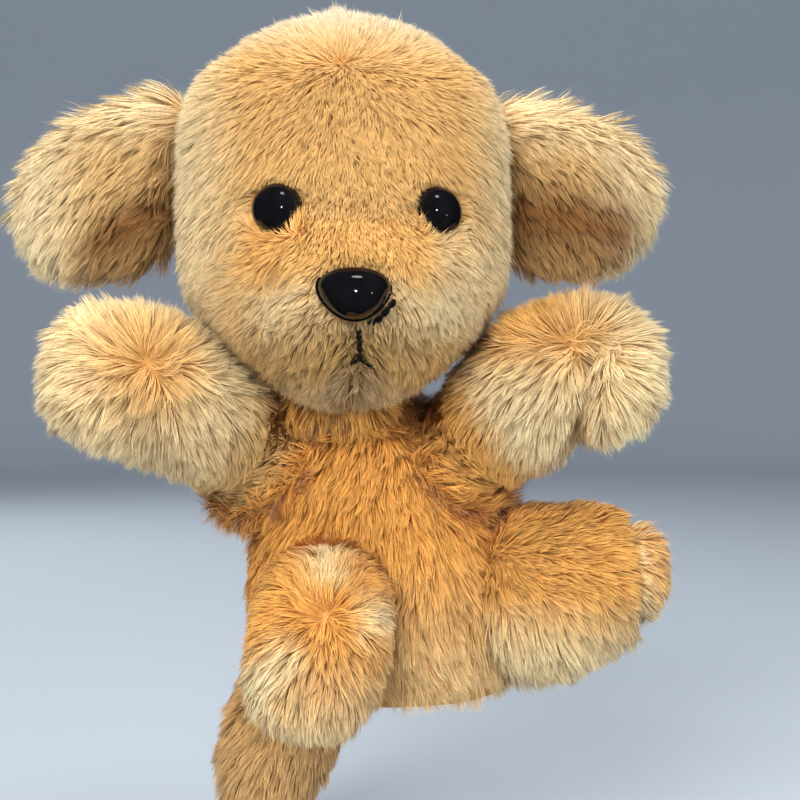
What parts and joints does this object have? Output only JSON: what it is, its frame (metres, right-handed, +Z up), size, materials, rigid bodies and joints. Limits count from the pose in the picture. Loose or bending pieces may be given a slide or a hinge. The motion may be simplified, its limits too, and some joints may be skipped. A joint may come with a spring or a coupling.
{
  "type": "hand puppet",
  "caption": "Small plush puppy hand puppet: stuffed head with glossy eyes and nose, floppy ears, hollow body and arms for fingers, dangling legs and tail.",
  "frame": {"origin": "centre of the hand opening, at the lower edge of the hollow body", "axes": "+Z up through the body towards the crown of the head, -Y the way the puppy faces, +X towards its own left arm"},
  "size_m": [0.1286, 0.0784, 0.1625],
  "materials": {
    "golden_plush": "long-pile plush, golden at the roots and cream at the tips",
    "cream_plush": "paler long-pile plush",
    "knit_lining": "thin matt knitted lining",
    "fibre_fill": "loose white polyester fibre",
    "black_gloss": "glossy black moulding",
    "white_plastic": "matt white moulding",
    "black_thread": "twisted black thread",
    "gold_thread": "strong sewing thread"
  },
  "bodies": {
    "body": {"belly_panel": "golden_plush", "back_left_panel": "golden_plush", "back_right_panel": "golden_plush", "hem_band": "golden_plush", "sleeve_lining": "knit_lining"},
    "neck": {"neck_gathering_thread": "gold_thread"},
    "head": {"head_muzzle_panel": "cream_plush", "head_crown_gusset": "golden_plush", "head_left_panel": "golden_plush", "head_right_panel": "golden_plush", "head_stuffing": "fibre_fill", "head_finger_tube": "knit_lining", "eye_left": "black_gloss", "eye_left_washer": "white_plastic", "eye_right": "black_gloss", "eye_right_washer": "white_plastic", "nose": "black_gloss", "nose_washer": "white_plastic", "mouth_stitch": "black_thread", "nose_thread_end": "black_thread"},
    "ear_left": {"ear_left_front_panel": "cream_plush", "ear_left_back_panel": "golden_plush"},
    "ear_right": {"ear_right_front_panel": "cream_plush", "ear_right_back_panel": "golden_plush"},
    "shoulder_left": {"arm_left_seam_ring": "gold_thread"},
    "arm_left": {"arm_left_front_panel": "golden_plush", "arm_left_back_panel": "golden_plush", "arm_left_stuffing": "fibre_fill", "arm_left_finger_pocket": "knit_lining"},
    "shoulder_right": {"arm_right_seam_ring": "gold_thread"},
    "arm_right": {"arm_right_front_panel": "golden_plush", "arm_right_back_panel": "golden_plush", "arm_right_stuffing": "fibre_fill", "arm_right_finger_pocket": "knit_lining"},
    "leg_left": {"leg_left_front_panel": "golden_plush", "leg_left_back_panel": "golden_plush", "foot_left_end_panel": "cream_plush", "leg_left_stuffing": "fibre_fill"},
    "leg_right": {"leg_right_front_panel": "golden_plush", "leg_right_back_panel": "golden_plush", "foot_right_end_panel": "cream_plush", "leg_right_stuffing": "fibre_fill"},
    "tail": {"tail_left_panel": "golden_plush", "tail_right_panel": "golden_plush", "tail_stuffing": "fibre_fill"}
  },
  "joints": [
    {"name": "neck_turn", "type": "hinge", "parent": "body", "child": "neck", "pos_m": [-0.009, 0, 0.06], "axis": [0, 0, -1], "range_deg": [-30, 28], "stiffness_Nm_per_rad": 0.25},
    {"name": "head_nod", "type": "hinge", "parent": "neck", "child": "head", "pos_m": [-0.009, 0, 0.06], "axis": [-1, 0, 0], "range_deg": [-18, 20], "stiffness_Nm_per_rad": 0.25},
    {"name": "ear_left_flop", "type": "hinge", "parent": "head", "child": "ear_left", "pos_m": [0.02111, 0.00112, 0.1045], "axis": [0.0449, 0.1166, -0.9922], "range_deg": [-30, 30], "stiffness_Nm_per_rad": 0.25},
    {"name": "ear_right_flop", "type": "hinge", "parent": "head", "child": "ear_right", "pos_m": [-0.03845, -0.0062, 0.1045], "axis": [0.0718, -0.1023, 0.9922], "range_deg": [-25, 40], "stiffness_Nm_per_rad": 0.25},
    {"name": "arm_left_swing", "type": "hinge", "parent": "body", "child": "shoulder_left", "pos_m": [0.014, -0.003, 0.046], "axis": [0, 0, -1], "range_deg": [-25, 25], "stiffness_Nm_per_rad": 0.25},
    {"name": "arm_left_lift", "type": "hinge", "parent": "shoulder_left", "child": "arm_left", "pos_m": [0.014, -0.003, 0.046], "axis": [-0.6644, -0.7474, 0], "range_deg": [-30, 12], "stiffness_Nm_per_rad": 0.25},
    {"name": "arm_right_swing", "type": "hinge", "parent": "body", "child": "shoulder_right", "pos_m": [-0.024, -0.003, 0.046], "axis": [0, 0, -1], "range_deg": [-20, 25], "stiffness_Nm_per_rad": 0.25},
    {"name": "arm_right_lift", "type": "hinge", "parent": "shoulder_right", "child": "arm_right", "pos_m": [-0.024, -0.003, 0.046], "axis": [-0.7416, 0.6709, 0], "range_deg": [-30, 10], "stiffness_Nm_per_rad": 0.25},
    {"name": "leg_left_flop", "type": "hinge", "parent": "body", "child": "leg_left", "pos_m": [0.024, -0.003, 0.021], "axis": [0, -1, 0], "range_deg": [-15, 15], "stiffness_Nm_per_rad": 0.25},
    {"name": "leg_right_flop", "type": "hinge", "parent": "body", "child": "leg_right", "pos_m": [-0.011, -0.0178, 0.021], "axis": [-1, 0, 0], "range_deg": [-15, 15], "stiffness_Nm_per_rad": 0.25},
    {"name": "tail_wag", "type": "hinge", "parent": "body", "child": "tail", "pos_m": [-0.01, 0.017, 0.013], "axis": [0, 1, 0], "range_deg": [-30, 30], "stiffness_Nm_per_rad": 0.25}
  ]
}
